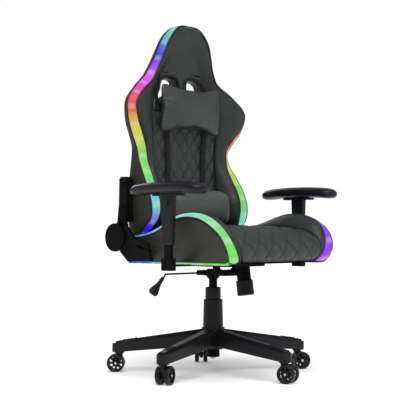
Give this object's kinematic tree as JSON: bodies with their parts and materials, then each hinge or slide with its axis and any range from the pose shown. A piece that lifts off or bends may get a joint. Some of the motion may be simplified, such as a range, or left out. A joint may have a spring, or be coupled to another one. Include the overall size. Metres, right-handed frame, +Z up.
{
  "type": "gaming chair",
  "caption": "Bucket-style gaming chair on a five-arm caster base, with gas lift, tilt, reclining back, height-adjustable armrests, pillows and light strips along its edges.",
  "frame": {"origin": "on the floor, on the swivel axis of the seat", "axes": "+Z up, the sitter faces -Y, +X to the sitter's left"},
  "size_m": [0.716, 0.687, 1.1912],
  "materials": {
    "nylon": "moulded satin black",
    "dark_steel": "black powder coat",
    "bright_steel": "bright zinc or ground steel",
    "bush_plastic": "natural acetal",
    "moulded_black": "fine grained black",
    "arm_foam": "satin polyurethane skin",
    "leather": "fine grained faux leather",
    "pillow_leather": "smooth faux leather",
    "led": "lit translucent diffuser",
    "webbing": "woven black webbing",
    "caster_black": "semi-gloss nylon"
  },
  "bodies": {
    "base": {"star_base": "nylon", "lift_outer_tube": "dark_steel", "lift_guide_bush": "bush_plastic", "lift_base_clip": "bright_steel", "cover_lower": "nylon", "cover_upper": "nylon"},
    "lift_rod": {"lift_piston_rod": "bright_steel"},
    "lift": {"lift_cylinder": "dark_steel", "mech_housing": "dark_steel", "tilt_pin": "dark_steel"},
    "lift_valve": {"lift_valve_pin": "bush_plastic"},
    "lever": {"lever_rod": "dark_steel", "lever_grip": "moulded_black"},
    "seat": {"mech_top_plate": "dark_steel", "tension_spring": "bright_steel", "seat_frame": "dark_steel", "seat_cushion": "leather", "seat_led_strips": "led", "seat_bolts": "bright_steel", "recliner_bracket_r": "dark_steel", "recliner_bracket_l": "dark_steel", "recliner_caps": "moulded_black", "arm_bracket_r": "dark_steel", "arm_bracket_l": "dark_steel"},
    "tension": {"tension_knob": "moulded_black"},
    "recline_handle": {"recline_lever": "moulded_black"},
    "back": {"back_frame": "dark_steel", "back_cushion": "leather", "back_led_strip": "led", "back_bezels": "moulded_black", "recliner_arm_r": "moulded_black", "recliner_arm_l": "moulded_black", "back_bolts": "dark_steel", "lumbar_straps": "webbing"},
    "head_cushion": {"head_pillow": "pillow_leather", "head_strap": "webbing"},
    "lumbar_cushion": {"lumbar_pillow": "pillow_leather"},
    "arm_r": {"arm_sleeve_r": "moulded_black", "arm_pad_base_r": "moulded_black", "arm_pad_r": "arm_foam"},
    "arm_l": {"arm_sleeve_l": "moulded_black", "arm_pad_base_l": "moulded_black", "arm_pad_l": "arm_foam"},
    "button_r": {"arm_button_r": "moulded_black"},
    "button_l": {"arm_button_l": "moulded_black"},
    "caster_1": {"caster_hood_1": "caster_black", "caster_pins_1": "bright_steel"},
    "wheels_1": {"caster_wheels_1": "caster_black"},
    "caster_2": {"caster_hood_2": "caster_black", "caster_pins_2": "bright_steel"},
    "wheels_2": {"caster_wheels_2": "caster_black"},
    "caster_3": {"caster_hood_3": "caster_black", "caster_pins_3": "bright_steel"},
    "wheels_3": {"caster_wheels_3": "caster_black"},
    "caster_4": {"caster_hood_4": "caster_black", "caster_pins_4": "bright_steel"},
    "wheels_4": {"caster_wheels_4": "caster_black"},
    "caster_5": {"caster_hood_5": "caster_black", "caster_pins_5": "bright_steel"},
    "wheels_5": {"caster_wheels_5": "caster_black"}
  },
  "joints": [
    {"name": "seat_swivel", "type": "hinge", "parent": "base", "child": "lift_rod", "pos_m": [0, 0, 0.055], "axis": [0, 0, 1], "continuous": true},
    {"name": "lift_slide", "type": "slide", "parent": "lift_rod", "child": "lift", "axis": [0, 0, 1], "range_m": [-0.02, 0.08]},
    {"name": "lift_lever", "type": "hinge", "parent": "lift", "child": "lever", "pos_m": [-0.035, 0, 0.34], "axis": [0, 1, 0], "range_deg": [0, 5], "stiffness_Nm_per_rad": 8, "springref_deg": -5.73},
    {"name": "lift_valve_press", "type": "slide", "parent": "lift", "child": "lift_valve", "axis": [0, 0, 1], "range_m": [-0.004, 0]},
    {"name": "seat_tilt", "type": "hinge", "parent": "lift", "child": "seat", "pos_m": [0, -0.06, 0.345], "axis": [-1, 0, 0], "range_deg": [0, 10], "stiffness_Nm_per_rad": 400, "springref_deg": -8.59, "deforming": ["tension_spring"]},
    {"name": "tension_turn", "type": "hinge", "parent": "seat", "child": "tension", "pos_m": [0, -0.136, 0.356], "axis": [0, 0.1461, 0.9893], "range_deg": [-720, 720]},
    {"name": "back_recline", "type": "hinge", "parent": "seat", "child": "back", "pos_m": [0, 0.172, 0.458], "axis": [-1, 0, 0], "range_deg": [0, 45]},
    {"name": "recline_release", "type": "hinge", "parent": "seat", "child": "recline_handle", "pos_m": [-0.29, 0.088, 0.45], "axis": [-1, 0, 0], "range_deg": [0, 22], "stiffness_Nm_per_rad": 1, "springref_deg": -5.73},
    {"name": "head_pillow_height", "type": "slide", "parent": "back", "child": "head_cushion", "axis": [0, 0, 1], "range_m": [-0.01, 0.02]},
    {"name": "lumbar_pillow_height", "type": "slide", "parent": "back", "child": "lumbar_cushion", "axis": [0, 0, 1], "range_m": [0, 0.08]},
    {"name": "arm_height_r", "type": "slide", "parent": "seat", "child": "arm_r", "axis": [0, 0, 1], "range_m": [-0.035, 0.05]},
    {"name": "arm_button_press_r", "type": "slide", "parent": "arm_r", "child": "button_r", "axis": [1, 0, 0], "range_m": [0, 0.002], "stiffness_N_per_m": 1000, "springref_m": -0.001},
    {"name": "arm_height_l", "type": "slide", "parent": "seat", "child": "arm_l", "axis": [0, 0, 1], "range_m": [-0.035, 0.05]},
    {"name": "arm_button_press_l", "type": "slide", "parent": "arm_l", "child": "button_l", "axis": [-1, 0, 0], "range_m": [0, 0.002], "stiffness_N_per_m": 1000, "springref_m": -0.001},
    {"name": "caster_swivel_1", "type": "hinge", "parent": "base", "child": "caster_1", "pos_m": [-0.01418, -0.32469, 0.07], "axis": [0, 0, 1], "continuous": true},
    {"name": "caster_roll_1", "type": "hinge", "parent": "caster_1", "child": "wheels_1", "pos_m": [-0.01087, -0.33623, 0.03], "axis": [-0.9613, -0.2756, 0], "continuous": true},
    {"name": "caster_swivel_2", "type": "hinge", "parent": "base", "child": "caster_2", "pos_m": [0.30442, -0.11382, 0.07], "axis": [0, 0, 1], "continuous": true},
    {"name": "caster_roll_2", "type": "hinge", "parent": "caster_2", "child": "wheels_2", "pos_m": [0.3147, -0.12, 0.03], "axis": [-0.515, -0.8572, 0], "continuous": true},
    {"name": "caster_swivel_3", "type": "hinge", "parent": "base", "child": "caster_3", "pos_m": [0.20232, 0.25435, 0.07], "axis": [0, 0, 1], "continuous": true},
    {"name": "caster_roll_3", "type": "hinge", "parent": "caster_3", "child": "wheels_3", "pos_m": [0.21095, 0.26268, 0.03], "axis": [0.6947, -0.7193, 0], "continuous": true},
    {"name": "caster_swivel_4", "type": "hinge", "parent": "base", "child": "caster_4", "pos_m": [-0.17938, 0.27101, 0.07], "axis": [0, 0, 1], "continuous": true},
    {"name": "caster_roll_4", "type": "hinge", "parent": "caster_4", "child": "wheels_4", "pos_m": [-0.18771, 0.27964, 0.03], "axis": [0.7193, 0.6947, 0], "continuous": true},
    {"name": "caster_swivel_5", "type": "hinge", "parent": "base", "child": "caster_5", "pos_m": [-0.31318, -0.08685, 0.07], "axis": [0, 0, 1], "continuous": true},
    {"name": "caster_roll_5", "type": "hinge", "parent": "caster_5", "child": "wheels_5", "pos_m": [-0.30205, -0.08236, 0.03], "axis": [0.3746, -0.9272, 0], "continuous": true}
  ],
  "couplings": [
    {"joint": "lift_valve_press", "follows": "lift_lever", "m_per_rad": -0.035}
  ]
}
